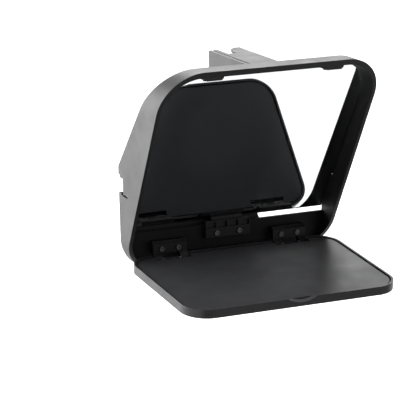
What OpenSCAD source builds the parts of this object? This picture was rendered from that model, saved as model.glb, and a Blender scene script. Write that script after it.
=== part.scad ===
// Beam splitter teleprompter for a camera lens.
// Millimetres. X across the frame, Y towards the camera, Z up.
// The subject stands on the -Y side. The row's origin is the middle of the lens thread.

/* [Frame] */
// Width of the frame at its top edge
frame_top_width = 196; // [190:1:204]
// Width of the frame at its bottom edge
frame_bottom_width = 187.6; // [184:0.1:189]
// Height of the front edge's top corner above the tray plane
frame_top_z = 166.6; // [162:0.1:170]
// Depth of the frame below the tray plane
frame_drop = 11.3; // [10.5:0.1:12.5]
// Lean of the front rim from the horizontal
rim_angle = 62.8; // [62.5:0.1:63.2]
// Thickness of the side walls
side_wall = 3; // [2.6:0.1:3.4]
// Thickness of the top bar
top_bar = 5; // [4.6:0.1:5.4]
// Radius of the outer top corners
top_corner = 34; // [30:1:38]
// Radius of the outer bottom corners
bottom_corner = 28; // [26:1:30]
// Height of the knee in each side wall's rear edge
knee_z = 76.5; // [75:0.5:79]
// Height of the lower rear wall's top edge
rear_wall_top = 19.4; // [19:0.1:19.6]

/* [Glass] */
// Lean of the beam splitter from the horizontal
glass_angle = 61.3; // [61.2:0.1:61.4]
// Thickness of the glass
glass_thick = 1.6; // [1.4:0.1:1.7]
// Height of the glass's top edge
glass_top_z = 160.8; // [158:0.1:160.8]
// Height of the glass's bottom edge, above an open slit
glass_low_z = 23.3; // [23.2:0.1:23.4]

/* [Bracket] */
// Length of the bracket's top plate behind the top bar
bracket_rear_y = 8; // [6:0.5:9]
// Height of the bracket's side webs
web_height = 19; // [17:0.5:20]

/* [Tray] */
// Width of the tray
tray_width = 187.8; // [187:0.1:190]
// Depth of the tray
tray_depth = 124; // [120:1:128]
// Tilt of the open tray, front edge down
tray_tilt = 6; // [5.9:0.1:6.1]
// Height of the tray's lip above its top plate
tray_lip = 0.8; // [0.5:0.1:0.8]
// Depth of the tray shell below the top plate's face
tray_under = 6.4; // [6.2:0.1:6.6]
// Gap between the lip and the top plate
tray_groove = 1.4; // [1:0.1:1.8]
// Radius of the tray's front corners
tray_front_corner = 21; // [19:1:22]
// Radius of the tray's rear corners
tray_rear_corner = 19; // [17:1:20]

/* [Lens ring] */
// Height of the lens axis above the tray plane
axis_z = 88; // [88:0.5:89]
// Radius of the bore that the adapter ring turns in
ring_bore = 41.5; // [41.5:0.05:41.6]
// Outside radius of the lens thread
thread_r = 38.4; // [36.4:0.1:38.4]

/* [Hidden] */
$fn = 96;
ring_y = 32;
front_top_y = -85.7;
zb = -frame_drop;
hw_t = frame_top_width / 2;
hw_b = frame_bottom_width / 2;
rear_y = 9.7;
wall_y = 7.2;
slope = 0.8415;
glass_y0 = 22.05;
up = 90 - glass_angle;
pin_y = -3.8;
pin_z = -3.6;
pin_v = 3.56;
pin_u = -3.25;
hinge_x = 55;
panel_y = 11.6;
panel_t = 3;
swing_y = 14.6;
swing_z = 11.5;
boss_y = 25;
shoe_top = 165;
plate_t = 2.5;
// corner circles stand proud by this much, so that they cross the sides cleanly
ease = 0.02;
web_x = 15;
web_t = 2.4;
// top of the ribs behind the glass
rib_top = 128;
// underside of the top bar
bar_z = frame_top_z - top_bar;
tw = tray_width / 2;
scoop_r = 33.8;

// ---------- shared helpers ----------

module in_row() {
  translate([0, -ring_y, -axis_z]) children();
}

// Extrude an outline drawn in X and Z from y0 to y1.
module along_y(y0, y1) {
  translate([0, y1, 0]) rotate([90, 0, 0]) linear_extrude(y1 - y0) children();
}

// Extrude an outline drawn in Y and Z from x0 to x1.
module along_x(x0, x1) {
  translate([x0, 0, 0]) rotate([90, 0, 90]) linear_extrude(x1 - x0) children();
}

function side_x(z) = hw_b + (z - zb) * (hw_t - hw_b) / (frame_top_z - zb);
function rim_y(z) = front_top_y + (frame_top_z - z) / tan(rim_angle);
function glass_y(z) = glass_y0 - z / tan(glass_angle);

// Trapezoid with four round corners: inset in from the sides, from z0 up to z1.
module round_trapezoid(in, z0, z1, rb, rt) {
  lean = atan((hw_t - hw_b) / (frame_top_z - zb));
  xb = side_x(z0 + rb) - in - rb / cos(lean);
  xt = side_x(z1 - rt) - in - rt / cos(lean);
  sb = xb + rb * cos(lean);
  st = xt + rt * cos(lean);
  yb = z0 + rb - rb * sin(lean);
  yt = z1 - rt - rt * sin(lean);
  polygon([[xb, z0], [sb, yb], [st, yt], [xt, z1], [-xt, z1], [-st, yt], [-sb, yb], [-xb, z0]]);
  translate([xb, z0 + rb]) circle(rb + ease);
  translate([-xb, z0 + rb]) circle(rb + ease);
  translate([xt, z1 - rt]) circle(rt + ease);
  translate([-xt, z1 - rt]) circle(rt + ease);
}

// Rectangle with round corners from [x0, y0] to [x1, y1].
module round_box(x0, y0, x1, y1, r) {
  translate([x0 + r, y0]) square([x1 - x0 - 2 * r, y1 - y0]);
  translate([x0, y0 + r]) square([x1 - x0, y1 - y0 - 2 * r]);
  for (x = [x0 + r, x1 - r], y = [y0 + r, y1 - r]) translate([x, y]) circle(r);
}

module outer_loop() round_trapezoid(0, zb, frame_top_z, bottom_corner, top_corner);
module inner_loop(in = 0) round_trapezoid(side_wall + in, zb + side_wall + in,
  frame_top_z - top_bar - in, bottom_corner - side_wall - in, top_corner - 4 - in);

// Slab between two depths behind the glass's front face.
module glass_slab(d0, d1) {
  translate([0, glass_y0, 0]) rotate([up, 0, 0]) translate([-110, d0, -20])
    cube([220, d1 - d0, 240]);
}

// Put children, drawn in X, forward distance and height, on the open tray.
module on_tray() {
  translate([0, -0.6, 0]) rotate([tray_tilt, 0, 0]) rotate([0, 0, 180]) children();
}

module screw_y(x, y, z, len, head_r = 2.3, head_t = 1.5, r = 1.22) {
  translate([x, y - head_t, z]) rotate([-90, 0, 0]) difference() {
    union() {
      cylinder(r = head_r, h = head_t - 0.02);
      cylinder(r = r, h = head_t + len);
    }
    translate([0, 0, -1]) cylinder(r = 1.15, h = 1.9, $fn = 6);
  }
}

module hole_y(x, y0, y1, z, r = 1.25) {
  translate([x, y0, z]) rotate([-90, 0, 0]) cylinder(r = r, h = y1 - y0);
}

// ---------- frame ----------

module side_profile() {
  polygon([[rim_y(frame_top_z), frame_top_z], [rim_y(zb), zb], [rear_y, zb], [rear_y, knee_z],
    [rear_y - (frame_top_z - knee_z) * slope, frame_top_z]]);
}

// Finger notch with its hook slit, cut in each side wall's rear edge.
module side_notch() {
  translate([1.3, 55]) square([12, 12.6]);
  translate([7.2, 67.5]) square([6, 2.5]);
  translate([-6.2, 52.6]) square([8.5, 1.8]);
  translate([-6.2, 53.5]) circle(1.3);
  translate([1.3, 53.5]) square([3.4, 2]);
}

module frame_shell() color([0.13, 0.13, 0.135]) in_row() difference() {
  union() {
    intersection() {
      along_y(-100, 40) difference() {
        outer_loop();
        inner_loop();
      }
      along_x(-110, 110) side_profile();
    }
    intersection() {
      along_y(wall_y, rear_y) outer_loop();
      translate([-100, 0, -40]) cube([200, 20, 40 + rear_wall_top]);
    }
    // rib that the glass lies on, along each side
    intersection() {
      glass_slab(glass_thick + 0.6, glass_thick + 2.6);
      along_y(-100, rear_y) difference() {
        inner_loop(-0.5);
        inner_loop(3);
      }
      translate([-110, -100, glass_low_z + 2]) cube([220, 130, rib_top - glass_low_z - 2]);
    }
    // ledge under the open tray's rear edge, which shuts the gap below
    translate([-66, -4, zb]) cube([132, 11, 2.3]);
  }
  along_x(-110, 110) side_notch();
  // pocket for the bracket's tongue and its screw holes
  translate([-15.1, -79, 160]) cube([30.2, 30, 4.1]);
  translate([-15.1, -67.1, 160]) cube([30.2, 30, 5.05]);
  for (x = [-8, 8]) translate([x, -72, 160]) cylinder(r = 1.25, h = 5.8);
  // holes for the centre block, the hinge blocks and the panel hinge
  for (x = [-10.4, 10.4]) hole_y(x, 5, 9.2, 12.4);
  for (s = [-1, 1], x = [-7.5, 7.5]) hole_y(s * hinge_x + x, 5, 9.2, 5.6);
  for (x = [-32, -8, 8, 32]) hole_y(x, 7.6, 12, 1.5);
  for (s = [-1, 1], x = [-5, 5]) translate([s * 53 + x, -74, 160]) cylinder(r = 0.82, h = 4.4);
}

// ---------- top bracket ----------

module top_outline() {
  difference() {
    translate([-web_x, -67]) square([2 * web_x - 1, 67 + bracket_rear_y]);
    translate([-7, -12.3]) square([7.5, 40]);
    polygon([[0.4, -6], [6.4, bracket_rear_y + 3], [0.4, bracket_rear_y + 3]]);
  }
  translate([8.4, bracket_rear_y - 1]) square([5.6, 3.6]);
}

module top_bracket() color([0.2, 0.2, 0.205]) in_row() difference() {
  union() {
    translate([0, 0, shoe_top - plate_t]) linear_extrude(plate_t) top_outline();
    for (x = [-web_x, 14 - web_t]) along_x(x, x + web_t)
      polygon([[-55.6, shoe_top - web_height], [bracket_rear_y, shoe_top - web_height],
        [bracket_rear_y, shoe_top - 1], [-62.3, shoe_top - 1], [-62.3, 158]]);
    translate([-15, -78.9, 161.6]) cube([30 - 1, 18, 2.4]);
  }
  // long groove beside the left edge
  translate([-12.3, -58, shoe_top - 1.2]) cube([1.4, 70, 3]);
  for (x = [-8, 8]) translate([x, -72, 160]) cylinder(r = 1.4, h = 5);
  for (x = [-6, 5]) translate([x, -17, 161]) cylinder(r = 0.82, h = 3);
}

module bracket_screws() color([0.1, 0.1, 0.1]) in_row()
  for (x = [-8, 8]) translate([x, -72, 160.2]) {
    cylinder(r = 1.22, h = 5.3);
    difference() {
      cylinder(r = 2.5, h = 1.35);
      translate([0, 0, -1]) cylinder(r = 1.1, h = 1.8, $fn = 6);
    }
  }

// ---------- glass ----------

module beam_glass() color([0.75, 0.8, 0.82, 0.4]) in_row() intersection() {
  glass_slab(0, glass_thick);
  along_y(-100, 30) inner_loop(0.6);
  translate([-110, -100, glass_low_z]) cube([220, 140, glass_top_z - glass_low_z]);
}

module glass_gasket() color([0.05, 0.05, 0.05]) in_row() intersection() {
  glass_slab(glass_thick + 0.02, glass_thick + 0.58);
  along_y(-100, rear_y) difference() {
    inner_loop(0.8);
    inner_loop(2.8);
  }
  translate([-110, -100, glass_low_z + 2.5]) cube([220, 140, rib_top - glass_low_z - 3]);
}

// One clip: a low block with chamfered ends under the top bar, which stops the glass in front.
module glass_clip(x) difference() {
  along_y(-80.9, -66.5) translate([x, bar_z])
    polygon([[-8.3, -0.02], [-8.3, -1.2], [-6.4, -3.2], [6.4, -3.2], [8.3, -1.2], [8.3, -0.02]]);
  for (dx = [-5, 5]) translate([x + dx, -74, 150]) cylinder(r = 0.9, h = 20);
}

module glass_clip_left() color([0.1, 0.1, 0.1]) in_row() glass_clip(-53);
module glass_clip_right() color([0.1, 0.1, 0.1]) in_row() glass_clip(53);

module clip_screws() color([0.3, 0.3, 0.3]) in_row()
  for (s = [-1, 1], dx = [-5, 5]) translate([s * 53 + dx, -74, bar_z - 4.02]) {
    cylinder(r = 0.8, h = 6);
    difference() {
      cylinder(r = 1.5, h = 0.8);
      translate([-1.1, -0.25, -0.1]) cube([2.2, 0.5, 0.5]);
    }
  }

// Block that holds the glass's bottom edge, with four cells along its top.
module centre_block() color([0.08, 0.08, 0.08]) in_row() difference() {
  union() {
    along_y(3, 6.3) round_box(-20.4, 8.6, 20.4, 22.6, 1.2);
    along_y(6.2, wall_y) round_box(-20.4, 8.6, 20.4, rear_wall_top - 0.4, 1.2);
    // shelf over the wall for the glass's edge, with a lip in front of it
    translate([-14, 5.4, rear_wall_top + 0.02]) cube([28, 5.7, glass_low_z - rear_wall_top - 0.04]);
    translate([-14, 5.4, rear_wall_top + 0.02]) cube([28, 2.5, glass_low_z - rear_wall_top + 2]);
  }
  for (x = [-15.3, -5.1, 5.1, 15.3])
    translate([x - 4.3, 2, 16.6]) cube([8.6, 3, 5]);
  for (x = [-10.4, 10.4]) hole_y(x, 0, 20, 12.4, 1.25);
}

module block_screws() color([0.35, 0.35, 0.35]) in_row()
  for (x = [-10.4, 10.4]) screw_y(x, 3, 12.4, 6, 2.1, 1.2);

// ---------- tray hinge ----------

// Fixed block on the rear wall with two arms that reach down to the pin.
module hinge_block(x) difference() {
  union() {
    along_x(x - 15, x + 15)
      polygon([[wall_y, 1.9], [-1, 1.9], [-1, 9], [1.6, 11.6], [wall_y, 11.6]]);
    for (a = [x - 15, x + 8]) along_x(a, a + 7) {
      polygon([[-0.8, 2], [3.4, 2], [-1.8, -5.2], [-5.8, -1.9]]);
      translate([pin_y, pin_z]) circle(2.6);
    }
  }
  translate([x - 20, pin_y, pin_z]) rotate([0, 90, 0]) cylinder(r = 1.27, h = 40);
  for (dx = [-7.5, 7.5]) hole_y(x + dx, -5, 20, 5.6);
}

module hinge_block_left() color([0.09, 0.09, 0.09]) in_row() hinge_block(-hinge_x);
module hinge_block_right() color([0.09, 0.09, 0.09]) in_row() hinge_block(hinge_x);

module hinge_block_screws() color([0.35, 0.35, 0.35]) in_row()
  for (s = [-1, 1], dx = [-7.5, 7.5]) screw_y(s * hinge_x + dx, -1, 5.6, 10, 2.1, 1.2);

module hinge_pin(x) translate([x - 15.6, pin_y, pin_z]) rotate([0, 90, 0]) {
  cylinder(r = 1.25, h = 30.6);
  cylinder(r = 2, h = 0.55);
}

module hinge_pin_left() color([0.7, 0.7, 0.7]) in_row() hinge_pin(-hinge_x);
module hinge_pin_right() color([0.7, 0.7, 0.7]) in_row() hinge_pin(hinge_x);

module hinge_washers() color([0.6, 0.6, 0.6]) in_row()
  for (s = [-1, 1], a = [-7.95, 7.35]) translate([s * hinge_x + a, pin_y, pin_z])
    rotate([0, 90, 0]) difference() {
      cylinder(r = 2.5, h = 0.6);
      translate([0, 0, -1]) cylinder(r = 1.27, h = 3);
    }

// Moving leaf: one knuckle between the arms and a plate on the tray's floor.
module hinge_leaf(x) difference() {
  union() {
    translate([x - 7.3, pin_v, pin_u]) rotate([0, 90, 0]) cylinder(r = 2.6, h = 14.6);
    translate([x - 7.3, pin_v, -4.58]) cube([14.6, 8, 1.7]);
    translate([x - 15.4, 6.8, -4.58]) cube([30.8, 1.9, 1.7]);
    translate([x - 12, 8.6, -4.58]) cube([24, 4, 1.7]);
    translate([0, 0, -4.58]) linear_extrude(1.7) round_box(x - 12, 9.2, x + 12, 24, 2.5);
  }
  translate([x - 20, pin_v, pin_u]) rotate([0, 90, 0]) cylinder(r = 1.3, h = 40);
  for (dx = [-7, 7]) translate([x + dx, 17, -10]) cylinder(r = 1.52, h = 20);
}

module hinge_leaf_left() color([0.15, 0.15, 0.15]) in_row() on_tray() hinge_leaf(hinge_x);
module hinge_leaf_right() color([0.15, 0.15, 0.15]) in_row() on_tray() hinge_leaf(-hinge_x);

module leaf_rivets() color([0.6, 0.6, 0.6]) in_row() on_tray()
  for (s = [-1, 1], dx = [-7, 7]) translate([s * hinge_x + dx, 17, -tray_under]) {
    cylinder(r = 1.5, h = tray_under - 2.2);
    translate([0, 0, tray_under - 2.88]) cylinder(r = 2.7, h = 0.7);
  }

// ---------- tray ----------

// Tray outline, inset by a distance, in X and forward distance.
module tray_outline(in) {
  rr = tray_rear_corner - in;
  rf = tray_front_corner - in;
  w = tw - in;
  v0 = in;
  v1 = tray_depth - in;
  translate([-w + rr, v0]) square([2 * (w - rr), 30]);
  translate([-w, v0 + rr]) square([2 * w, v1 - v0 - rr - rf]);
  translate([-w + rf, v1 - 40]) square([2 * (w - rf), 40]);
  for (s = [-1, 1]) {
    translate([s * (w - rr), v0 + rr]) circle(rr);
    translate([s * (w - rf), v1 - rf]) circle(rf);
  }
}

module hinge_gaps(v) for (s = [-1, 1]) translate([s * hinge_x - 15.8, -1]) square([31.6, v + 1]);

// Scoop for a finger: a leaning groove across the top edge of the front lip.
module finger_scoop() translate([-3, tray_depth, tray_lip]) rotate([-45, 0, 0])
  translate([0, -30, scoop_r - 2.6]) rotate([-90, 0, 0]) cylinder(r = scoop_r, h = 60);

module tray_shell() color([0.12, 0.12, 0.125]) in_row() on_tray() difference() {
  translate([0, 0, -tray_under]) linear_extrude(tray_under + tray_lip) tray_outline(0);
  // well for the top plate, with a ledge all round
  translate([0, 0, -1.6]) linear_extrude(5) tray_outline(1.8);
  translate([0, 0, -4.6]) linear_extrude(5) difference() {
    tray_outline(6);
    for (x = [-82, 82], v = [16, 108]) translate([x, v]) circle(3.4);
  }
  // gaps for the hinges' arms, open up and down
  translate([0, 0, -10]) linear_extrude(20) hinge_gaps(8.8);
  finger_scoop();
  for (x = [-82, 82], v = [16, 108]) translate([x, v, -10]) {
    cylinder(r = 1.25, h = 9.4);
    cylinder(r = 2.35, h = 4.8);
  }
  for (s = [-1, 1], dx = [-7, 7]) translate([s * hinge_x + dx, 17, -10]) cylinder(r = 1.52, h = 20);
}

module tray_plate() color([0.16, 0.16, 0.165]) in_row() on_tray() difference() {
  translate([0, 0, -1.58]) linear_extrude(1.58) difference() {
    tray_outline(1.8 + tray_groove);
    hinge_gaps(9.4);
  }
  for (x = [-82, 82], v = [16, 108]) translate([x, v, -2]) cylinder(r = 1.25, h = 1.3);
}

module tray_screws() color([0.35, 0.35, 0.35]) in_row() on_tray()
  for (x = [-82, 82], v = [16, 108]) translate([x, v, -tray_under]) difference() {
    union() {
      cylinder(r = 2.3, h = 1.15);
      cylinder(r = 1.22, h = 5.6);
    }
    translate([0, 0, -1]) cylinder(r = 1.1, h = 1.8, $fn = 6);
  }

// ---------- lens panel ----------

module panel_outline() {
  translate([0, axis_z]) circle(50);
  polygon([[-90, 16], [34.4, 16], [31.6, 23.3], [27, 34], [40, 58], [48.5, 100], [-48.5, 100],
    [-68, 44], [-74, 34], [-90, 24.6]]);
  translate([-12, 130]) square([24, 16]);
}

module lens_panel() color([0.1, 0.1, 0.105]) in_row() difference() {
  union() {
    along_y(panel_y, panel_y + panel_t) panel_outline();
    translate([0, panel_y, axis_z]) rotate([-90, 0, 0]) cylinder(r = 47.5, h = boss_y - panel_y);
    for (a = [-27, 14]) along_x(a, a + 13) {
      translate([swing_y, swing_z]) circle(3);
      translate([panel_y, swing_z]) square([3, 5.5]);
    }
    // stiffening rails down the rear face
    for (x = [-60, 17]) translate([x, 13, 22]) cube([3, 4, 26]);
  }
  translate([0, 0, axis_z]) rotate([-90, 0, 0]) cylinder(r = ring_bore, h = 60);
  translate([-40, swing_y, swing_z]) rotate([0, 90, 0]) cylinder(r = 1.55, h = 80);
  translate([-60, 20, axis_z]) rotate([0, 90, 0]) cylinder(r = 3.22, h = 20);
  for (x = [-6, 6]) hole_y(x, 5, 20, 144.6, 1.05);
}

// Arm on the panel's neck, with a tongue that stands up inside the bracket's channel.
module latch_arm() color([0.1, 0.1, 0.105]) in_row() difference() {
  union() {
    translate([-11, -6, 143]) cube([22, panel_y + 6, 3.2]);
    translate([-11, -6, 143]) cube([22, 5, 17.9]);
  }
  translate([0, -7, 154.5]) rotate([-90, 0, 0]) cylinder(r = 4.05, h = 3);
  for (x = [-6, 6]) hole_y(x, 4, 20, 144.6, 1.05);
}

module arm_screws() color([0.35, 0.35, 0.35]) in_row()
  for (x = [-6, 6]) translate([x, panel_y + panel_t + 1.2, 144.6]) mirror([0, 1, 0])
    rotate([-90, 0, 0]) difference() {
      union() {
        cylinder(r = 1.9, h = 1.18);
        cylinder(r = 1, h = 10);
      }
      translate([0, 0, -1]) cylinder(r = 0.9, h = 1.7, $fn = 6);
    }

module panel_hinge_base() color([0.25, 0.25, 0.25]) in_row() difference() {
  union() {
    along_y(rear_y + 0.02, 10.9) round_box(-42, -3, 42, 15.6, 2);
    for (a = [-35, 27.3]) along_x(a, a + 7.7) {
      translate([swing_y, swing_z]) circle(3);
      translate([10.5, swing_z - 3]) square([3.5, 6]);
    }
  }
  translate([-50, swing_y, swing_z]) rotate([0, 90, 0]) cylinder(r = 1.52, h = 100);
  for (x = [-32, -8, 8, 32]) hole_y(x, 5, 20, 1.5);
}

module panel_hinge_screws() color([0.35, 0.35, 0.35]) in_row()
  for (x = [-32, -8, 8, 32]) mirror([0, 1, 0]) screw_y(x, -10.9, 1.5, 3.1, 2.1, 1.2);

module panel_hinge_pin() color([0.7, 0.7, 0.7]) in_row()
  translate([-35.4, swing_y, swing_z]) rotate([0, 90, 0]) {
    cylinder(r = 1.5, h = 70.6);
    cylinder(r = 2.3, h = 0.38);
  }

module latch_magnet() color([0.6, 0.6, 0.6]) in_row()
  translate([0, -7.9, 154.5]) rotate([-90, 0, 0]) cylinder(r = 4, h = 3.88);

module latch_plate() color([0.5, 0.5, 0.5]) in_row() difference() {
  union() {
    translate([-8, -9.5, 148]) cube([16, 1.5, 14.48]);
    translate([-8, -22, 160.98]) cube([16, 13, 1.5]);
  }
  for (x = [-6, 5]) translate([x, -17, 150]) cylinder(r = 0.9, h = 20);
}

module latch_screws() color([0.35, 0.35, 0.35]) in_row()
  for (x = [-6, 5]) translate([x, -17, 160.1]) {
    cylinder(r = 0.8, h = 3.7);
    cylinder(r = 1.6, h = 0.86);
  }

// ---------- lens ring ----------

// Ring turned about the lens axis: points are radius and distance towards the camera.
module turned(points) {
  translate([0, 0, axis_z]) rotate([-90, 0, 0]) rotate_extrude($fn = 180) polygon(points);
}

module adapter_ring() color([0.15, 0.15, 0.15]) in_row() turned([[38, 9.8], [44, 9.8],
  [44, 11.4], [ring_bore - 0.06, 11.4], [ring_bore - 0.06, 25.2], [40.4, 25.2], [40.4, 26.4],
  [41.2, 26.4], [41.2, 27.4], [37.5, 27.4], [37.5, 14], [38, 13]]);

module snap_ring() color([0.6, 0.6, 0.6]) in_row() difference() {
  turned([[40.45, 25.26], [43.4, 25.26], [43.4, 26.34], [40.45, 26.34]]);
  translate([-6, 20, axis_z - 50]) cube([12, 20, 30]);
}

module step_ring() color([0.14, 0.14, 0.14]) in_row() turned([[36, 22], [37.44, 22],
  [37.44, 27.46], [41.2, 27.46], [41.2, 30], [thread_r, 30], [thread_r, 34], [36, 34]]);

module light_felt() color([0.03, 0.03, 0.03]) in_row()
  turned([[38.4, 8.8], [43.6, 8.8], [43.6, 9.78], [38.4, 9.78]]);

module clamp_insert() color([0.7, 0.6, 0.3]) in_row() translate([-47.4, 20, axis_z])
  rotate([0, 90, 0]) difference() {
    cylinder(r = 3.2, h = 5.3);
    translate([0, 0, -1]) cylinder(r = 2.06, h = 10);
  }

module clamp_screw() color([0.6, 0.6, 0.6]) in_row() translate([-58, 20, axis_z])
  rotate([0, 90, 0]) cylinder(r = 2, h = 16.3);

module clamp_knob() color([0.08, 0.08, 0.08]) in_row() translate([-61.5, 20, axis_z])
  rotate([0, 90, 0]) difference() {
    union() {
      cylinder(r = 5.4, h = 7.5);
      cylinder(r = 4, h = 10.5);
    }
    for (k = [0:9]) rotate(k * 36) translate([6, 0, -1]) cylinder(r = 1.1, h = 8.6, $fn = 24);
    translate([0, 0, 3.5]) cylinder(r = 2.02, h = 10);
  }

frame_shell();
top_bracket();
bracket_screws();
beam_glass();
glass_gasket();
glass_clip_left();
glass_clip_right();
clip_screws();
centre_block();
block_screws();
hinge_block_left();
hinge_block_right();
hinge_block_screws();
hinge_pin_left();
hinge_pin_right();
hinge_washers();
hinge_leaf_left();
hinge_leaf_right();
leaf_rivets();
tray_shell();
tray_plate();
tray_screws();
lens_panel();
panel_hinge_base();
panel_hinge_screws();
panel_hinge_pin();
latch_arm();
arm_screws();
latch_magnet();
latch_plate();
latch_screws();
adapter_ring();
snap_ring();
step_ring();
light_felt();
clamp_insert();
clamp_screw();
clamp_knob();
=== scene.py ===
"""Folding teleprompter: finishes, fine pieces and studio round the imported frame.

Lengths in the classes are millimetres in the row's frame: X across, Y towards the camera, Z up.
"""
import logging
import math
from dataclasses import dataclass, field
from enum import Enum
from typing import Iterable, Sequence

import bmesh
import bpy
from mathutils import Matrix, Vector


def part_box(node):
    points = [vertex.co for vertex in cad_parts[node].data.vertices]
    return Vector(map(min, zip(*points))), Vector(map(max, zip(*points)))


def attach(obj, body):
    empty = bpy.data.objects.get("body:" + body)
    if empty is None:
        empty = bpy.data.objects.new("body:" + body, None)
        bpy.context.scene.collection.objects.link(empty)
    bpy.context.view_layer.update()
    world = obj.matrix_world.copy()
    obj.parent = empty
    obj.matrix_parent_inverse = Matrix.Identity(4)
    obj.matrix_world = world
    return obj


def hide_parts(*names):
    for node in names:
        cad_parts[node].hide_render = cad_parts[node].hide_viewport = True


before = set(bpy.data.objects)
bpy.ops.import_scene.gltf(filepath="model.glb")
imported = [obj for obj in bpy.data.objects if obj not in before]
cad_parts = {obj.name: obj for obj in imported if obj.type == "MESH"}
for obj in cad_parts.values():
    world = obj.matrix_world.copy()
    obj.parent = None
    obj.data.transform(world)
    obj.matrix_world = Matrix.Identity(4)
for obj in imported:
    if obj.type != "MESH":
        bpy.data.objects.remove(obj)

LOG = logging.getLogger("teleprompter")
MM = 0.001
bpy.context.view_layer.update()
Point = tuple[float, float, float]
# Features per metre of the broad noises that every finish shares
CLOUDS, SMEARS, WEAR = 28.0, 45.0, 160.0
# How much smoother a rubbed edge is than the face beside it
RUB_SHINE = -0.07
# An edge counts as rubbed where the wide bevel's normal turns this far from the face's
# (as cosines: where the wear starts, and where it is full), on a bevel this much wider
WEAR_STARTS, WEAR_FULL, WEAR_WIDTH = 0.985, 0.90, 1.6
# Profile of a thread, in parts of its pitch: the crest's two edges and the far foot
CREST_FROM, CREST_TO, FOOT_TO = 0.44, 0.56, 0.98
# Edges sharper than this stay sharp on a made piece
CREASE = math.radians(32)
# Spreads a lathe's feed over the length that one wave of the ring texture covers
RINGS_PER_WAVE = 20
# A point on the line along Y that the hood goes round, in metres
HOOD_MIDDLE = (0.0, 0.0, -0.012)
# The dull black zone, painted shade and the hood's anti-reflection black: hardly any sheen, and rough
DULL_SPECULAR, DULL_ROUGHNESS = 0.12, 0.62


def linear(code: str, alpha: float = 1.0) -> tuple[float, float, float, float]:
    """Turn an sRGB hex colour into linear values.

    Args:
        code: Six hex digits, such as "1C1C1E".
        alpha: Opacity that goes last.

    Returns:
        Red, green, blue and alpha, linear.
    """
    parts = [int(code[i:i + 2], 16) / 255 for i in (0, 2, 4)]
    red, green, blue = (p / 12.92 if p <= 0.04045 else ((p + 0.055) / 1.055) ** 2.4 for p in parts)
    return red, green, blue, alpha


def add(tree: bpy.types.NodeTree, kind: str, wires: dict | None = None, **settings) -> bpy.types.Node:
    """Add a node with its settings and links.

    A colour Mix takes its factor as 0 and its colours as 6 and 7. A MapRange takes the value as
    0, its range as 1 and 2, and the new range as 3 and 4.

    Args:
        tree: Tree that takes the node.
        kind: Node type without the "ShaderNode" in front.
        wires: Input name or number, and the value or output socket that goes into it.
        **settings: Attributes of the node.

    Returns:
        The new node.
    """
    made = tree.nodes.new("ShaderNode" + kind)
    for name, value in settings.items():
        setattr(made, name, value)
    for key, value in (wires or {}).items():
        if isinstance(value, bpy.types.NodeSocket):
            tree.links.new(value, made.inputs[key])
        else:
            made.inputs[key].default_value = value
    return made


class Along(Enum):
    """Direction that a drawn, ground or turned mark runs in."""

    X = (0.02, 1.0, 1.0)
    Y = (1.0, 0.02, 1.0)
    Z = (1.0, 1.0, 0.02)


class Shade(Enum):
    """Where on the object a finish has its dull black: painted shade, and in the hood also its matt
    anti-reflection black.
    """

    NOWHERE = 0
    INSIDE_HOOD = 1
    FRONT_FACES = 2


# ---------------------------------------------------------------- finishes


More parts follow.
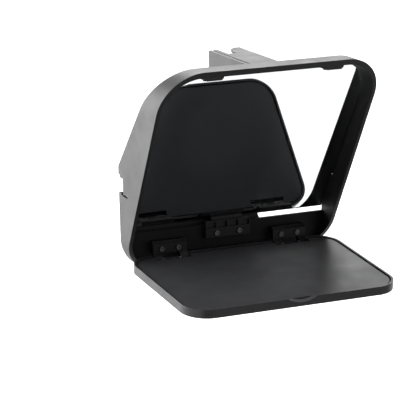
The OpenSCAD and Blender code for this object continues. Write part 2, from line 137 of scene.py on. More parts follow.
@dataclass(frozen=True)
class Finish:
    """What every finish has: a name, a ground colour and a response to light.

    Attributes:
        name: The material's plain name.
        colour: sRGB hex of the ground colour.
        second: sRGB hex that the colour drifts to in broad clouds.
        wear_and_highlight: sRGB hex along edges that hands and cases rub; the same paler tone also
            paints an edge highlight there, and a highlight on the tray's scoop.
        roughness: Roughness of the untouched surface.
        specular: Specular level, 0.5 for a plain dielectric.
        grain_mm: Size of the surface's grain.
        grain_depth_mm: Height of that grain.
        edge_mm: Radius that the edges are broken to.
    """

    name: str
    colour: str
    second: str
    wear_and_highlight: str
    roughness: float = 0.45
    specular: float = 0.5
    grain_mm: float = 1.4
    grain_depth_mm: float = 0.02
    edge_mm: float = 0.35

    def material(self) -> bpy.types.Material:
        """Return the Blender material, made on the first call."""
        found = bpy.data.materials.get(self.name)
        if found:
            return found
        made = bpy.data.materials.new(self.name)
        made.use_nodes = True
        made.node_tree.nodes.clear()
        self.draw(made, made.node_tree)
        return made

    def draw(self, made: bpy.types.Material, tree: bpy.types.NodeTree) -> None:
        """Draw the finish: clouds of colour, grain, handling marks and rubbed edges, whose paler
        colour is partly wear and partly a painted edge highlight.

        Args:
            made: The material.
            tree: Its node tree.
        """
        place = add(tree, "TexCoord").outputs["Object"]
        clouds = add(tree, "TexNoise", {"Vector": place, "Scale": CLOUDS, "Detail": 4.0})
        ground = add(tree, "Mix", {0: clouds.outputs["Fac"], 6: linear(self.colour),
                                   7: linear(self.second)}, data_type="RGBA")
        grain = self.grain(tree, place)
        edge = self.wear_and_highlight_edge(tree, place)
        # paler edges: rubbed wear, and also a painted edge highlight
        colour = add(tree, "Mix", {0: edge, 6: ground.outputs[2], 7: linear(self.wear_and_highlight)},
                     data_type="RGBA")
        smears = add(tree, "TexNoise", {"Vector": place, "Scale": SMEARS, "Detail": 6.0,
                                        "Roughness": 0.62})
        rough = add(tree, "MapRange", {0: smears.outputs["Fac"], 1: 0.3, 2: 0.7,
                                       3: self.roughness - 0.05, 4: self.roughness + 0.06})
        shine = add(tree, "Math", {0: edge, 1: RUB_SHINE, 2: rough.outputs[0]},
                    operation="MULTIPLY_ADD")
        normal = add(tree, "Bump", {"Height": grain, "Distance": self.grain_depth_mm * MM,
                                    "Strength": 0.8, "Normal": self.eased(tree)})
        shader = add(tree, "BsdfPrincipled", {
            "Base Color": colour.outputs[2], "Roughness": shine.outputs[0],
            "Normal": normal.outputs[0], "Specular IOR Level": self.specular})
        self.top_up(tree, shader, place, edge)
        add(tree, "OutputMaterial", {"Surface": shader.outputs[0]})

    def grain(self, tree: bpy.types.NodeTree, place: bpy.types.NodeSocket) -> bpy.types.NodeSocket:
        """Return the grain's height, 0 to 1.

        Args:
            tree: The node tree.
            place: Position on the object, in metres.

        Returns:
            The height's socket.
        """
        pebbles = add(tree, "TexNoise", {"Vector": place, "Scale": 1000 / self.grain_mm,
                                         "Detail": 3.0, "Roughness": 0.6})
        return pebbles.outputs["Fac"]

    def eased(self, tree: bpy.types.NodeTree) -> bpy.types.NodeSocket:
        """Return a normal with the edges broken, as a tool or a tumbler leaves them."""
        return add(tree, "Bevel", {"Radius": self.edge_mm * MM}, samples=4).outputs[0]

    def wear_and_highlight_edge(self, tree: bpy.types.NodeTree, place: bpy.types.NodeSocket
                    ) -> bpy.types.NodeSocket:
        """Return 1 along edges, broken up by a noise, and 0 elsewhere.

        Args:
            tree: The node tree.
            place: Position on the object, in metres.

        Returns:
            The mask's socket.
        """
        flat = add(tree, "NewGeometry").outputs["Normal"]
        wide = add(tree, "Bevel", {"Radius": WEAR_WIDTH * self.edge_mm * MM}, samples=4).outputs[0]
        turn = add(tree, "VectorMath", {0: flat, 1: wide}, operation="DOT_PRODUCT")
        bare = add(tree, "MapRange", {0: turn.outputs["Value"], 1: WEAR_STARTS, 2: WEAR_FULL,
                                      3: 0.0, 4: 1.0})
        broken = add(tree, "TexNoise", {"Vector": place, "Scale": WEAR, "Detail": 5.0})
        lumps = add(tree, "MapRange", {0: broken.outputs["Fac"], 1: 0.38, 2: 0.62, 3: 0.1, 4: 0.75})
        return add(tree, "Math", {0: bare.outputs[0], 1: lumps.outputs[0]},
                   operation="MULTIPLY").outputs[0]

    def top_up(self, tree: bpy.types.NodeTree, shader: bpy.types.Node,
               place: bpy.types.NodeSocket, edge: bpy.types.NodeSocket) -> None:
        """Add what only some finishes have.

        Args:
            tree: The node tree.
            shader: The surface shader.
            place: Position on the object, in metres.
            edge: Mask of the rubbed edges.
        """


@dataclass(frozen=True)
class MouldedPlastic(Finish):
    """ABS moulded in a spark-eroded tool: a soft sheen, never a mirror.

    Attributes:
        shade: Where the dull black, a painted shade, lies.
        matt_and_shade_black: sRGB hex of the dull black: painted shade, and inside the hood also its
            matt anti-reflection black.
    """

    shade: Shade = Shade.NOWHERE
    matt_and_shade_black: str = "171718"

    def top_up(self, tree: bpy.types.NodeTree, shader: bpy.types.Node,
               place: bpy.types.NodeSocket, edge: bpy.types.NodeSocket) -> None:
        """Lay a dull black on the inner walls and the front faces as painted shade, and paint a
        highlight on the tray's leaning scoop; inside the hood the black is also the anti-reflection
        black.

        Args:
            tree: The node tree.
            shader: The surface shader.
            place: Position on the object, in metres.
            edge: Mask of the rubbed edges.
        """
        if self.shade is Shade.NOWHERE:
            return
        ground = shader.inputs["Base Color"].links[0].from_socket
        normal = add(tree, "NewGeometry").outputs["Normal"]
        if self.shade is Shade.INSIDE_HOOD:
            unshaded_faces = self.outer_faces(tree, place, normal)
        else:
            unshaded_faces = self.rear_faces(tree, normal)
            # painted highlight: the leaning scoop gets a paler colour
            ground = self.painted_scoop_highlight(tree, normal, ground)
        # painted shade: the dull black goes on the faces that the mask leaves out
        mixed = add(tree, "Mix", {0: unshaded_faces, 6: linear(self.matt_and_shade_black), 7: ground},
                    data_type="RGBA")
        tree.links.new(mixed.outputs[2], shader.inputs["Base Color"])
        level = add(tree, "MapRange", {0: unshaded_faces, 3: DULL_SPECULAR, 4: self.specular})
        tree.links.new(level.outputs[0], shader.inputs["Specular IOR Level"])
        rough = shader.inputs["Roughness"].links[0].from_socket
        matt = add(tree, "Mix", {0: unshaded_faces, 2: DULL_ROUGHNESS, 3: rough})
        tree.links.new(matt.outputs[0], shader.inputs["Roughness"])

    def outer_faces(self, tree: bpy.types.NodeTree, place: bpy.types.NodeSocket,
                    normal: bpy.types.NodeSocket) -> bpy.types.NodeSocket:
        """Return 1 on faces that look away from a line along Y through the hood's middle.

        Args:
            tree: The node tree.
            place: Position on the object, in metres.
            normal: The faces' normal.

        Returns:
            The mask's socket.
        """
        spoke = add(tree, "VectorMath", {0: place, 1: HOOD_MIDDLE}, operation="SUBTRACT").outputs[0]
        flat = add(tree, "VectorMath", {0: spoke, 1: (1.0, 0.0, 1.0)}, operation="MULTIPLY")
        out = add(tree, "VectorMath", {0: flat.outputs[0]}, operation="NORMALIZE").outputs[0]
        facing = add(tree, "VectorMath", {0: normal, 1: out}, operation="DOT_PRODUCT")
        return add(tree, "MapRange", {0: facing.outputs["Value"], 1: 0.15, 2: 0.35,
                                      3: 0.0, 4: 1.0}).outputs[0]

    def rear_faces(self, tree: bpy.types.NodeTree, normal: bpy.types.NodeSocket
                   ) -> bpy.types.NodeSocket:
        """Return 0 on faces that look forward and 1 on all others.

        Args:
            tree: The node tree.
            normal: The faces' normal.

        Returns:
            The mask's socket.
        """
        front = add(tree, "SeparateXYZ", {0: normal}).outputs["Y"]
        return add(tree, "MapRange", {0: front, 1: -0.92, 2: -0.8, 3: 0.0, 4: 1.0}).outputs[0]

    def painted_scoop_highlight(self, tree: bpy.types.NodeTree, normal: bpy.types.NodeSocket,
                     ground: bpy.types.NodeSocket) -> bpy.types.NodeSocket:
        """Return the ground colour, painted paler on the leaning scoop as a highlight.

        Args:
            tree: The node tree.
            normal: The faces' normal.
            ground: The ground colour.

        Returns:
            The colour's socket.
        """
        rise = add(tree, "SeparateXYZ", {0: normal}).outputs["Z"]
        highlight_faces = add(tree, "Math", {0: rise, 1: 0.68, 2: 0.2}, operation="COMPARE")
        # painted highlight: the pale colour goes on the faces that lean like the scoop
        return add(tree, "Mix", {0: highlight_faces.outputs[0], 6: ground, 7: linear(self.wear_and_highlight)},
                   data_type="RGBA").outputs[2]


@dataclass(frozen=True)
class PowderCoat(Finish):
    """Powder coat on sheet metal: a tight orange peel under a low sheen."""

    def grain(self, tree: bpy.types.NodeTree, place: bpy.types.NodeSocket) -> bpy.types.NodeSocket:
        """Return the orange peel's height, 0 to 1.

        Args:
            tree: The node tree.
            place: Position on the object, in metres.

        Returns:
            The height's socket.
        """
        cells = add(tree, "TexVoronoi", {"Vector": place, "Scale": 1000 / self.grain_mm},
                    feature="SMOOTH_F1")
        return cells.outputs["Distance"]


@dataclass(frozen=True)
class Steel(Finish):
    """Steel that was ground, drawn or plated: bright, with fine marks along one way.

    Attributes:
        along: The way that the marks run.
        mark_mm: Width of a mark.
    """

    along: Along = Along.X
    mark_mm: float = 0.25

    def grain(self, tree: bpy.types.NodeTree, place: bpy.types.NodeSocket) -> bpy.types.NodeSocket:
        """Return the height of the grinding marks, 0 to 1.

        Args:
            tree: The node tree.
            place: Position on the object, in metres.

        Returns:
            The height's socket.
        """
        long = add(tree, "VectorMath", {0: place, 1: self.along.value}, operation="MULTIPLY")
        marks = add(tree, "TexNoise", {"Vector": long.outputs[0], "Scale": 1000 / self.mark_mm,
                                       "Detail": 2.0})
        return marks.outputs["Fac"]

    def top_up(self, tree: bpy.types.NodeTree, shader: bpy.types.Node,
               place: bpy.types.NodeSocket, edge: bpy.types.NodeSocket) -> None:
        """Make the surface a metal, with the default IOR.

        Args:
            tree: The node tree.
            shader: The surface shader.
            place: Position on the object, in metres.
            edge: Mask of the rubbed edges.
        """
        shader.inputs["Metallic"].default_value = 1.0


@dataclass(frozen=True)
class AnodisedAluminium(Finish):
    """Turned aluminium, black anodised: rings of fine turning marks, silver where rubbed.

    Attributes:
        pitch_mm: Feed of the lathe for one turn.
    """

    pitch_mm: float = 0.5

    def grain(self, tree: bpy.types.NodeTree, place: bpy.types.NodeSocket) -> bpy.types.NodeSocket:
        """Return the height of the turning marks, 0 to 1.

        Args:
            tree: The node tree.
            place: Position on the object, in metres.

        Returns:
            The height's socket.
        """
        rings = add(tree, "TexWave", {"Vector": place, "Scale": 1000 / self.pitch_mm / RINGS_PER_WAVE,
                                      "Distortion": 0.4, "Detail": 1.0},
                    wave_type="RINGS", rings_direction="Y")
        return rings.outputs["Fac"]

    def top_up(self, tree: bpy.types.NodeTree, shader: bpy.types.Node,
               place: bpy.types.NodeSocket, edge: bpy.types.NodeSocket) -> None:
        """Let bare metal show on the rubbed edges.

        Args:
            tree: The node tree.
            shader: The surface shader.
            place: Position on the object, in metres.
            edge: Mask of the rubbed edges.
        """
        metal = add(tree, "MapRange", {0: edge, 3: 0.25, 4: 1.0})
        tree.links.new(metal.outputs[0], shader.inputs["Metallic"])


@dataclass(frozen=True)
class BeamSplitter(Finish):
    """Float glass with a vacuum-coated mirror film: a cool silver reflection.

    Attributes:
        clear: Part of the light that the film lets through.
        haze: Roughness that wiping marks add.
        wave_mm: Height of the pane's unevenness.
    """

    clear: float = 0.03
    haze: float = 0.02
    wave_mm: float = 0.004

    def draw(self, made: bpy.types.Material, tree: bpy.types.NodeTree) -> None:
        """Draw a bright film with the faint unevenness and wiping marks of a real pane.

        Args:
            made: The material.
            tree: Its node tree.
        """
        place = add(tree, "TexCoord").outputs["Object"]
        # the film's tint drifts a little across the pane
        drift = add(tree, "TexNoise", {"Vector": place, "Scale": 9.0, "Detail": 2.0})
        film = add(tree, "Mix", {0: drift.outputs["Fac"], 6: linear(self.colour),
                                 7: linear(self.second)}, data_type="RGBA")
        wiped = add(tree, "TexNoise", {"Vector": place, "Scale": 30.0, "Detail": 5.0,
                                       "Distortion": 1.2})
        haze = add(tree, "MapRange", {0: wiped.outputs["Fac"], 1: 0.45, 2: 0.75,
                                      3: self.roughness, 4: self.roughness + self.haze})
        roll = add(tree, "TexNoise", {"Vector": place, "Scale": 12.0, "Detail": 0.0})
        wave = add(tree, "Bump", {"Height": roll.outputs["Fac"], "Distance": self.wave_mm * MM,
                                  "Strength": 1.0})
        shader = add(tree, "BsdfPrincipled", {
            "Base Color": film.outputs[2], "Roughness": haze.outputs[0], "Metallic": 1.0,
            "Alpha": 1.0 - self.clear, "Normal": wave.outputs[0]})
        add(tree, "OutputMaterial", {"Surface": shader.outputs[0]})


@dataclass(frozen=True)
class Felt(Finish):
    """Pressed wool felt: fibres that swallow light, with a faint bloom at the edge.

    Attributes:
        bloom: Strength of the bloom.
        bloom_roughness: Spread of the bloom.
    """

    bloom: float = 0.35
    bloom_roughness: float = 0.5

    def grain(self, tree: bpy.types.NodeTree, place: bpy.types.NodeSocket) -> bpy.types.NodeSocket:
        """Return the height of the matted fibres, 0 to 1.

        Args:
            tree: The node tree.
            place: Position on the object, in metres.

        Returns:
            The height's socket.
        """
        bent = add(tree, "TexNoise", {"Vector": place, "Scale": 1000 / self.grain_mm,
                                      "Detail": 6.0, "Roughness": 0.75, "Distortion": 2.5})
        return bent.outputs["Fac"]

    def top_up(self, tree: bpy.types.NodeTree, shader: bpy.types.Node,
               place: bpy.types.NodeSocket, edge: bpy.types.NodeSocket) -> None:
        """Give the fibres their bloom.

        Args:
            tree: The node tree.
            shader: The surface shader.
            place: Position on the object, in metres.
            edge: Mask of the rubbed edges.
        """
        shader.inputs["Sheen Weight"].default_value = self.bloom
        shader.inputs["Sheen Roughness"].default_value = self.bloom_roughness


# Satin ABS, spark eroded: real grain 0.3 mm, drawn 1.6 mm so that it shows. The outer walls
# catch a broad grey sheen; the inner walls and the rim get a darker dull black, which is painted
# shade and also the hood's anti-reflection black.
HOOD_ABS = MouldedPlastic("satin_abs_hood", "232325", "2A2A2C", "55555A", 0.46, 0.34, 1.6, 0.03,
                          0.5, shade=Shade.INSIDE_HOOD)
# The same ABS on the tray, whose sides catch the sheen; its front faces get a darker dull colour,
# painted shade, and its leaning scoop a paler one, a painted highlight.
TRAY_ABS = MouldedPlastic("satin_abs_tray", "2E2E30", "353537", "66666A", 0.46, 0.34, 1.6, 0.03,
                          0.5, shade=Shade.FRONT_FACES, matt_and_shade_black="262627")
# Small satin mouldings: a finer tool, a duller black.
BLOCK_ABS = MouldedPlastic("satin_abs_blocks", "0E0E0F", "131314", "323234", 0.5, 0.24, 1.2, 0.02)
# Matt ABS of the panel in front of the lens, black so that it throws no light on the glass.
PANEL_ABS = MouldedPlastic("matt_abs_panel", "111112", "161617", "3A3A3C", 0.6, 0.22, 1.5, 0.03,
                           0.4)
# Glass-filled nylon of the knob: harder and shinier where fingers turn it.
KNOB_NYLON = MouldedPlastic("moulded_nylon_knob", "111112", "18181A", "4A4A4C", 0.36, 0.45, 0.9,
                            0.02)
# Powder coat on folded aluminium: real peel 0.5 mm, drawn 1.4 mm so that it shows.
BRACKET_COAT = PowderCoat("powder_coated_bracket", "141416", "19191B", "5A5A5D", 0.42, 0.24, 1.4,
                          0.02, 0.4)
# Fine powder coat on the tray's plate: dark grey, with a soft gradient and no highlight.
PLATE_COAT = PowderCoat("powder_coated_plate", "3C3C3F", "434346", "4A4A4D", 0.48, 0.3, 1.4,
                        0.02, 0.3)
# Painted zinc casting of the hinge blocks: smoother than the mouldings, thin paint on edges.
CASTING_PAINT = PowderCoat("painted_zinc_casting", "0C0C0D", "121213", "3A3A3C", 0.44, 0.24, 1.2,
                           0.02, 0.3)
# Foam rubber strip under the glass: open cells, no shine.
FOAM = PowderCoat("foam_rubber", "0B0B0B", "121212", "161616", 0.85, 0.2, 0.8, 0.1, 0.2)
# Ground steel of the pins: bright, marks round the pin drawn along it by the lapping.
PIN_STEEL = Steel("ground_steel_pin", "B4B4B2", "C4C4C2", "DADAD8", 0.22, grain_depth_mm=0.004,
                  edge_mm=0.15)
# Dark nickel on the small screws: smoky grey metal.
SCREW_NICKEL = Steel("dark_nickel_screw", "5C5B59", "6B6A67", "9A9996", 0.3,
                     grain_depth_mm=0.005, edge_mm=0.15, along=Along.Z)
# Black oxide on the bracket's screws.
SCREW_OXIDE = Steel("black_oxide_screw", "1F1F20", "29292A", "6E6E6E", 0.38,
                    grain_depth_mm=0.005, edge_mm=0.15, along=Along.Z)
# Spring steel of the washers and the snap ring: a blue-grey temper.
SPRING = Steel("spring_steel", "84868A", "94969A", "BEBFC2", 0.28, grain_depth_mm=0.005,
               edge_mm=0.12, along=Along.Y)
# Zinc plate on the latch's keeper: pale, with the sheet's rolling marks.
ZINC = Steel("zinc_plated_steel", "9A9C9E", "AAACAE", "CCCDCE", 0.34, grain_depth_mm=0.008,
             edge_mm=0.2, along=Along.X, mark_mm=0.5)
# Nickel plate on the magnet: bright and nearly unmarked.
MAGNET = Steel("nickel_plated_magnet", "B9B6B0", "C4C1BB", "DEDCD8", 0.14, grain_depth_mm=0.002,
               edge_mm=0.3, along=Along.X)
# Brass insert: warm metal, cut knurl.
BRASS = Steel("turned_brass", "C2A055", "B08F48", "E2C887", 0.26, grain_depth_mm=0.01,
              edge_mm=0.15, along=Along.Y)
# Soft aluminium rivets: dull silver.
RIVET = Steel("aluminium_rivet", "B2B2B4", "BFBFC1", "D8D8DA", 0.36, grain_depth_mm=0.006,
              edge_mm=0.3, along=Along.X)
# Black anodising on the turned rings: lathe feed 0.15 mm, drawn 0.5 mm so that it shows.
RING_ANODISED = AnodisedAluminium("black_anodised_ring", "1A1A1B", "212122", "8A8A8C", 0.34, 0.5,
                                  1.0, 0.008, 0.2)
# Mirror film on float glass: takes the surroundings in a cool silver.
MIRROR_GLASS = BeamSplitter("beam_splitter_glass", "D6D8D9", "DADCDD", "FFFFFF", 0.004)
# Pressed black felt: real fibres 0.02 mm, drawn as 0.9 mm tufts so that they show.
RING_FELT = Felt("pressed_black_felt", "0A0A0A", "101010", "161616", 0.95, 0.1, 0.9, 0.15, 0.3)


# ---------------------------------------------------------------- shapes in mesh code


def dress(names: Iterable[str], finish: Finish) -> None:
    """Give CAD nodes a finish through their objects' material slots.

    Args:
        names: The nodes.
        finish: What they are made of.
    """
    for name in names:
        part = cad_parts[name]
        if not part.material_slots:
            part.data.materials.append(None)
        for place in part.material_slots:
            place.link = "OBJECT"
            place.material = finish.material()
        LOG.info("dressed %s in %s", name, finish.name)


def piece(name: str, mesh: bmesh.types.BMesh, finish: Finish, body: str) -> bpy.types.Object:
    """Turn a bmesh in millimetres into a finished piece that rides on a body.

    Args:
        name: The piece's name.
        mesh: Its shape, which is freed.
        finish: What it is made of.
        body: The CAD body that it rides on.

    Returns:
        The piece.
    """
    bmesh.ops.scale(mesh, vec=(MM, MM, MM), verts=mesh.verts)
    bmesh.ops.recalc_face_normals(mesh, faces=mesh.faces)
    data = bpy.data.meshes.new(name)
    for face in mesh.faces:
        face.smooth = True
    mesh.to_mesh(data)
    mesh.free()
    data.set_sharp_from_angle(angle=CREASE)
    made = bpy.data.objects.new(name, data)
    bpy.context.scene.collection.objects.link(made)
    data.materials.append(finish.material())
    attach(made, body)
    LOG.info("made %s: %d faces on %s", name, len(data.polygons), body)
    return made


def spin(mesh: bmesh.types.BMesh, outline: Sequence[tuple[float, float]], steps: int,
         place: Matrix, teeth: int = 0, tooth: float = 0.0, toothed: Sequence[int] = ()) -> None:
    """Turn a closed outline about an axis, with an optional knurl on some of its points.

    Args:
        mesh: Takes the faces.
        outline: Radius and height of each point, in order round the section.
        steps: Steps round the axis.
        place: Puts the shape, turned about Z, where it belongs.
        teeth: Knurl teeth round the axis.
        tooth: Depth of a tooth.
        toothed: Numbers of the points that the knurl cuts.
    """
    rings = []
    for step in range(steps):
        turn = 2 * math.pi * step / steps
        cut = tooth * (0.5 + 0.5 * math.cos(teeth * turn)) if teeth else 0.0
        ring = []
        for number, (radius, height) in enumerate(outline):
            r = radius - (cut if number in toothed else 0.0)
            ring.append(mesh.verts.new(place @ Vector((r * math.cos(turn), r * math.sin(turn),
                                                       height))))
        rings.append(ring)
    count = len(outline)
    for step in range(steps):
        here, there = rings[step], rings[(step + 1) % steps]
        for i in range(count):
            j = (i + 1) % count
            mesh.faces.new((here[i], there[i], there[j], here[j]))


def thread(mesh: bmesh.types.BMesh, crest: float, root: float, pitch: float, start: float,
           end: float, place: Matrix, steps: int) -> None:
    """Wind a screw thread round an axis, fading in and out at its ends.

    Args:
        mesh: Takes the faces.
        crest: Radius at the thread's top.
        root: Radius at its foot, inside the core.
        pitch: Rise of one turn.
        start: Height of the thread's first foot.
        end: Height that it doesn't pass.
        place: Puts the shape, wound about Z, where it belongs.
        steps: Steps round one turn.
    """
    total = int((end - start - pitch) / pitch * steps)
    fading = steps * 0.25
    last = None
    for step in range(total + 1):
        turn = 2 * math.pi * step / steps
        fade = min(1.0, step / fading, (total - step) / fading)
        top = root + (crest - root) * max(fade, 0.02)
        low = start + pitch * step / steps
        section = [(root, low), (top, low + CREST_FROM * pitch), (top, low + CREST_TO * pitch),
                   (root, low + FOOT_TO * pitch)]
        row = [mesh.verts.new(place @ Vector((r * math.cos(turn), r * math.sin(turn), h)))
               for r, h in section]
        if last:
            for i in range(4):
                j = (i + 1) % 4
                mesh.faces.new((last[i], row[i], row[j], last[j]))
        else:
            mesh.faces.new(row)
        last = row
    mesh.faces.new(list(reversed(last)))


# ---------------------------------------------------------------- sub-assemblies


class SubAssembly:
    """A group of pieces that belong together: CAD nodes to finish, and pieces to make."""

    def dress(self) -> None:
        """Finish the CAD nodes."""

    def build(self) -> None:
        """Make the pieces that the CAD doesn't have."""


@dataclass
class Hood(SubAssembly):
    """The frame's shell and the block that holds the glass's lower edge."""

    shell: tuple[str, ...] = ("frame_shell",)
    block: tuple[str, ...] = ("centre_block",)
    screws: tuple[str, ...] = ("block_screws",)

    def dress(self) -> None:
        """Finish the shell, the block and its screws."""
        dress(self.shell, HOOD_ABS)
        dress(self.block, BLOCK_ABS)
        dress(self.screws, SCREW_NICKEL)


@dataclass
class GlassUnit(SubAssembly):
    """The beam splitter with its gasket and its two clips."""

    pane: tuple[str, ...] = ("beam_glass",)
    gasket: tuple[str, ...] = ("glass_gasket",)
    clips: tuple[str, ...] = ("glass_clip_left", "glass_clip_right")
    screws: tuple[str, ...] = ("clip_screws",)

    def dress(self) -> None:
        """Finish the pane and what holds it."""
        dress(self.pane, MIRROR_GLASS)
        dress(self.gasket, FOAM)
        dress(self.clips, BLOCK_ABS)
        dress(self.screws, SCREW_NICKEL)


@dataclass
class TopBracket(SubAssembly):
    """The folded channel on the top bar, with the latch's keeper inside."""

    channel: tuple[str, ...] = ("top_bracket",)
    screws: tuple[str, ...] = ("bracket_screws",)
    keeper: tuple[str, ...] = ("latch_plate",)
    keeper_screws: tuple[str, ...] = ("latch_screws",)

    def dress(self) -> None:
        """Finish the channel, the keeper and their screws."""
        dress(self.channel, BRACKET_COAT)
        dress(self.screws, SCREW_OXIDE)
        dress(self.keeper, ZINC)
        dress(self.keeper_screws, SCREW_NICKEL)


@dataclass
class TrayHinge(SubAssembly):
    """Both hinges of the tray: blocks, pins, washers and leaves."""

    blocks: tuple[str, ...] = ("hinge_block_left", "hinge_block_right")
    screws: tuple[str, ...] = ("hinge_block_screws",)
    pins: tuple[str, ...] = ("hinge_pin_left", "hinge_pin_right")
    washers: tuple[str, ...] = ("hinge_washers",)
    leaves: tuple[str, ...] = ("hinge_leaf_left", "hinge_leaf_right")
    rivets: tuple[str, ...] = ("leaf_rivets",)

    def dress(self) -> None:
        """Finish the castings and the steel of both hinges."""
        dress(self.blocks + self.leaves, CASTING_PAINT)
        dress(self.screws, SCREW_NICKEL)
        dress(self.pins, PIN_STEEL)
        dress(self.washers, SPRING)
        dress(self.rivets, RIVET)


@dataclass
class Tray(SubAssembly):
    """The tray that the phone lies on."""

    shell: tuple[str, ...] = ("tray_shell",)
    plate: tuple[str, ...] = ("tray_plate",)
    screws: tuple[str, ...] = ("tray_screws",)

    def dress(self) -> None:
        """Finish the shell, its plate and the screws from below."""
        dress(self.shell, TRAY_ABS)
        dress(self.plate, PLATE_COAT)
        dress(self.screws, SCREW_NICKEL)


@dataclass
class LensPanel(SubAssembly):
    """The panel behind the glass that carries the lens ring, with its hinge and magnet."""

    panel: tuple[str, ...] = ("lens_panel",)
    base: tuple[str, ...] = ("panel_hinge_base",)
    screws: tuple[str, ...] = ("panel_hinge_screws",)
    pin: tuple[str, ...] = ("panel_hinge_pin",)
    arm: tuple[str, ...] = ("latch_arm",)
    arm_screws: tuple[str, ...] = ("arm_screws",)
    magnet: tuple[str, ...] = ("latch_magnet",)
    insert: tuple[str, ...] = ("clamp_insert",)

    def dress(self) -> None:
        """Finish the panel, its hinge, the magnet and the insert."""
        dress(self.panel + self.arm, PANEL_ABS)
        dress(self.base, CASTING_PAINT)
        dress(self.screws + self.arm_screws, SCREW_NICKEL)
        dress(self.pin, PIN_STEEL)
        dress(self.magnet, MAGNET)
        dress(self.insert, BRASS)


@dataclass
class LensRing(SubAssembly):
    """The turning adapter, its snap ring and the step ring that screws into a lens.

    Attributes:
        body: CAD body that the ring belongs to.
        bore: Inner radius of the step ring.
        spigot: Radius of the part inside the adapter.
        rim: Outer radius of the knurled flange.
        crest: Outer radius of the lens thread.
        root: Radius at the foot of the thread.
        pitch: Pitch of the lens thread.
        plain: Length of the part inside the adapter.
        thick: Thickness of the flange.
        chamfer: Chamfer of the flange's edges.
        sunk: Depth that the thread's foot is sunk into the core, so that the two join.
        teeth: Knurl teeth round the flange.
        tooth: Depth of the knurl.
        steps: Steps round the ring.
        thread_steps: Steps round one turn of the thread.
        place: Turns an axis along Z into one along +Y, towards the camera.
    """

    body: str = "lens_ring"
    bore: float = 36.0
    spigot: float = 37.44
    rim: float = 41.2
    crest: float = 38.4
    root: float = 37.9
    pitch: float = 0.75
    plain: float = 5.46
    thick: float = 2.54
    chamfer: float = 0.35
    sunk: float = 0.05
    teeth: int = 120
    tooth: float = 0.3
    steps: int = 720
    thread_steps: int = 180
    place: Matrix = field(default_factory=lambda: Matrix.Rotation(math.radians(-90), 4, "X"))

    def dress(self) -> None:
        """Finish the adapter, the snap ring and the felt."""
        dress(("adapter_ring",), RING_ANODISED)
        dress(("snap_ring",), SPRING)
        dress(("light_felt",), RING_FELT)

    def build(self) -> None:
        """Turn the step ring with its knurl and its real thread, for the CAD's plain ring."""
        low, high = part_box("step_ring")
        y0, y1 = low.y / MM, high.y / MM
        near = y0 + self.plain
        far = near + self.thick
        outline = [(self.bore, y0), (self.spigot, y0), (self.spigot, near),
                   (self.rim - self.chamfer, near), (self.rim, near + self.chamfer),
                   (self.rim, far - self.chamfer), (self.rim - self.chamfer, far),
                   (self.root, far), (self.root, y1 - 0.3), (self.root - 0.3, y1),
                   (self.bore, y1)]
        mesh = bmesh.new()
        spin(mesh, outline, self.steps, self.place, self.teeth, self.tooth, (4, 5))
        thread(mesh, self.crest, self.root - self.sunk, self.pitch, far + 0.06, y1 - 0.1,
               self.place, self.thread_steps)
        made = piece("step_ring_threaded", mesh, RING_ANODISED, self.body)
        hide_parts("step_ring")


@dataclass
class RingClamp(SubAssembly):
    """The knob and screw that lock the lens ring.

    Attributes:
        body: CAD body of the clamp.
        crest: Outer radius of the screw's thread.
        root: Radius at its foot.
        pitch: Pitch of the thread.
        axle: Radius of the hollow that keeps the core's end faces whole.
        point: Length of the chamfer at the screw's point.
        sunk: Depth that the thread's foot is sunk into the core, so that the two join.
        steps: Steps round the screw.
    """

    body: str = "clamp"
    crest: float = 2.0
    root: float = 1.62
    pitch: float = 0.7
    axle: float = 0.02
    point: float = 0.5
    sunk: float = 0.05
    steps: int = 48

    def dress(self) -> None:
        """Finish the knob."""
        dress(("clamp_knob",), KNOB_NYLON)

    def build(self) -> None:
        """Cut the screw with its real thread, for the CAD's plain screw."""
        low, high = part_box("clamp_screw")
        x0, x1 = low.x / MM, high.x / MM
        centre = (low + high) / 2 / MM
        place = Matrix.Translation((x0, centre.y, centre.z)) @ Matrix.Rotation(
            math.radians(90), 4, "Y")
        length = x1 - x0
        outline = [(self.axle, 0.0), (self.root, 0.0), (self.root, length - self.point),
                   (self.root - self.point, length), (self.axle, length)]
        mesh = bmesh.new()
        spin(mesh, outline, self.steps, place)
        thread(mesh, self.crest, self.root - self.sunk, self.pitch, 0.2, length - 0.4, place,
               self.steps)
        made = piece("clamp_screw_threaded", mesh, PIN_STEEL, self.body)
        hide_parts("clamp_screw")


# ---------------------------------------------------------------- studio


@dataclass(frozen=True)
class Lamp:
    """A soft square light that faces the object.

    Attributes:
        name: Its name.
        spot: Where it hangs, in metres.
        size: Length of its side, in metres.
        watts: Its power.
    """

    name: str
    spot: Point
    size: float
    watts: float

    def hang(self) -> None:
        """Hang the light and turn it towards the object."""
        data = bpy.data.lights.new(self.name, "AREA")
        data.size, data.energy = self.size, self.watts
        made = bpy.data.objects.new(self.name, data)
        made.location = self.spot
        aim = Vector((0, 0, 0)) - Vector(self.spot)
        made.rotation_euler = aim.to_track_quat("-Z", "Y").to_euler()
        bpy.context.scene.collection.objects.link(made)


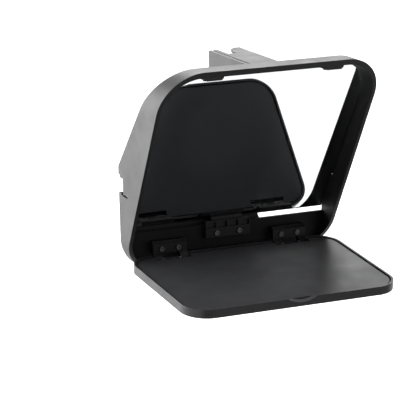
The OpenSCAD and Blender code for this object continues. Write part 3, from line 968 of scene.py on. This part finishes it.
@dataclass
class Studio:
    """Floor, light and camera, in metres.

    Attributes:
        floor_z: Height of the floor.
        eye: Where the camera stands.
        right: The picture's right.
        upward: The picture's up.
        lens: Focal length, in millimetres.
        sensor: Width of the sensor, in millimetres.
        floor_half: Half the length of the floor's side.
        glow_y: Where along Y the floor's glow begins to grow, and where it is full.
        glow: Strength of the glow before and behind.
        air: Strength of the room's light in front and behind.
        lamps: The lights.
    """

    floor_z: float = -0.42
    eye: Point = (-0.8524, -1.7527, 0.4238)
    right: Point = (0.90131, -0.43318, -0.00325)
    upward: Point = (0.10623, 0.21374, 0.97109)
    lens: float = 215.5
    sensor: float = 36.0
    floor_half: float = 14.0
    glow_y: tuple[float, float] = (-1.6, -0.35)
    glow: tuple[float, float] = (0.12, 0.8)
    air: tuple[float, float] = (0.16, 1.4)
    lamps: tuple[Lamp, ...] = (
        Lamp("softbox_left_rear", (-1.5, 1.5, 0.15), 1.7, 70.0),
        Lamp("softbox_high_rear", (0.9, 2.2, 1.35), 1.6, 26.0),
        Lamp("softbox_front_right", (1.1, -1.7, 0.45), 1.2, 8.0))

    def floor(self) -> None:
        """Lay a plain pale floor that glows: painted light, dim in front and bright from just before
        the object backwards.
        """
        mesh = bmesh.new()
        bmesh.ops.create_grid(mesh, x_segments=8, y_segments=8, size=self.floor_half)
        data = bpy.data.meshes.new("floor")
        mesh.to_mesh(data)
        mesh.free()
        made = bpy.data.objects.new("floor", data)
        made.location.z = self.floor_z
        bpy.context.scene.collection.objects.link(made)
        paper = bpy.data.materials.new("pale_floor")
        paper.use_nodes = True
        tree = paper.node_tree
        tree.nodes.clear()
        place = add(tree, "TexCoord").outputs["Object"]
        depth = add(tree, "SeparateXYZ", {0: place}).outputs["Y"]
        # painted light: the floor's glow grows from dim in front to bright behind
        glow = add(tree, "MapRange", {0: depth, 1: self.glow_y[0], 2: self.glow_y[1],
                                      3: self.glow[0], 4: self.glow[1]})
        shader = add(tree, "BsdfPrincipled", {
            "Base Color": linear("F4F4F4"), "Roughness": 0.9, "Specular IOR Level": 0.1,
            "Emission Color": linear("FFFFFF"), "Emission Strength": glow.outputs[0]})
        add(tree, "OutputMaterial", {"Surface": shader.outputs[0]})
        data.materials.append(paper)

    def sky(self) -> None:
        """Light the room from behind the object, and leave the front and the ceiling dim."""
        world = bpy.data.worlds.new("studio")
        bpy.context.scene.world = world
        world.use_nodes = True
        tree = world.node_tree
        tree.nodes.clear()
        way = add(tree, "TexCoord").outputs["Generated"]
        split = add(tree, "SeparateXYZ", {0: way})
        back = add(tree, "Math", {0: split.outputs["Y"], 1: 1.2, 2: 0.2}, operation="MULTIPLY_ADD")
        lean = add(tree, "Math", {0: split.outputs["Z"], 1: -0.35, 2: back.outputs[0]},
                   operation="MULTIPLY_ADD")
        bright = add(tree, "MapRange", {0: lean.outputs[0], 1: 0.0, 2: 1.0, 3: self.air[0],
                                        4: self.air[1]}, interpolation_type="SMOOTHSTEP")
        air = add(tree, "Background", {"Color": linear("FFFFFF"), "Strength": bright.outputs[0]})
        add(tree, "OutputWorld", {"Surface": air.outputs[0]})

    def camera(self) -> None:
        """Stand the camera in front of the object, a little to its left and above."""
        data = bpy.data.cameras.new("camera")
        data.lens, data.sensor_width = self.lens, self.sensor
        data.clip_start, data.clip_end = 0.05, 60.0
        made = bpy.data.objects.new("camera", data)
        across, up = Vector(self.right).normalized(), Vector(self.upward).normalized()
        back = across.cross(up)
        turn = Matrix((across, up, back)).transposed().to_4x4()
        made.matrix_world = Matrix.Translation(self.eye) @ turn
        bpy.context.scene.collection.objects.link(made)
        bpy.context.scene.camera = made

    def build(self) -> None:
        """Set up the whole studio."""
        self.camera()
        self.floor()
        self.sky()
        for lamp in self.lamps:
            lamp.hang()
        view = bpy.context.scene.view_settings
        view.view_transform, view.look = "Standard", "None"
        LOG.info("studio is lit")


def main() -> None:
    """Build and dress every sub-assembly in order."""
    logging.basicConfig(level=logging.INFO, format="%(message)s")
    Studio().build()
    for part in (Hood(), GlassUnit(), TopBracket(), TrayHinge(), Tray(), LensPanel(), LensRing(),
                 RingClamp()):
        LOG.info("building %s", type(part).__name__)
        part.dress()
        part.build()


if __name__ == "__main__":
    main()
